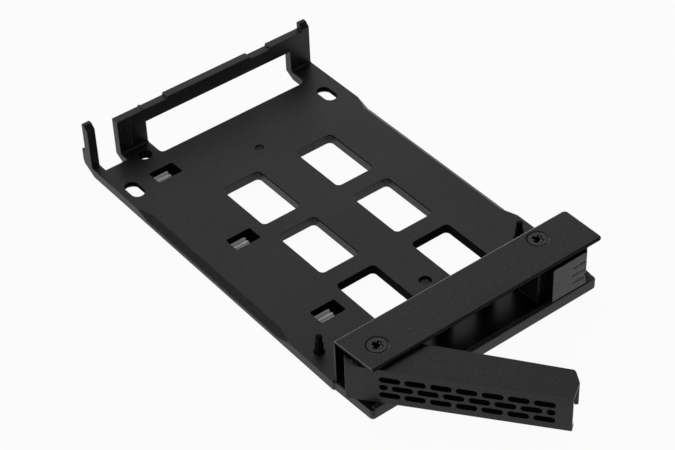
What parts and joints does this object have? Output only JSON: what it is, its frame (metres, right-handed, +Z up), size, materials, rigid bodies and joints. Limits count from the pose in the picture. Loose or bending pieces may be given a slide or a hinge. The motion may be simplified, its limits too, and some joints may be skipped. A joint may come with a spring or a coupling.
{
  "type": "hard drive mobile rack tray",
  "caption": "Open carrier tray for a 2.5 inch drive, with a bent front cover, a vented swing lever that is shown open, a sliding latch button and a rear connector frame.",
  "frame": {"origin": "middle of the drive's bottom hole pattern, on the drive seating face of the plate", "axes": "+X across the tray towards the latch button, -Y towards the lever, +Z up from the seating face"},
  "size_m": [0.0722, 0.151, 0.0157],
  "materials": {
    "tray_paint": "matte, fine texture",
    "cover_paint": "matte, fine texture",
    "lever_paint": "matte, fine texture",
    "button_grey": "satin",
    "screw_black": "black oxide, slightly shiny",
    "peg_black": "matte",
    "steel": "plain",
    "contact_steel": "plated, satin",
    "rivet_black": "matte"
  },
  "bodies": {
    "tray": {"tray_base": "tray_paint", "front_cover": "cover_paint", "cover_screw_left": "screw_black", "cover_screw_right": "screw_black", "pivot_post": "steel", "drive_peg_left": "peg_black", "drive_peg_right": "peg_black", "contact_strip": "contact_steel", "strip_rivet": "contact_steel", "plate_rivet_rear": "rivet_black", "plate_rivet_front": "rivet_black", "lever_spring": "steel", "latch_spring": "steel"},
    "lever": {"lever_shell": "lever_paint", "spring_anchor": "steel"},
    "latch": {"latch_button": "button_grey"}
  },
  "joints": [
    {"name": "lever_hinge", "type": "hinge", "parent": "tray", "child": "lever", "pos_m": [-0.0271, -0.0553, 0.0055], "axis": [0, 0, 1], "range_deg": [0, 51.7], "stiffness_Nm_per_rad": 0.01, "springref_deg": -11.46},
    {"name": "latch_slide", "type": "slide", "parent": "tray", "child": "latch", "axis": [1, 0, 0], "range_m": [0, 0.0025], "stiffness_N_per_m": 300, "springref_m": -0.002, "deforming": ["latch_spring"]}
  ]
}
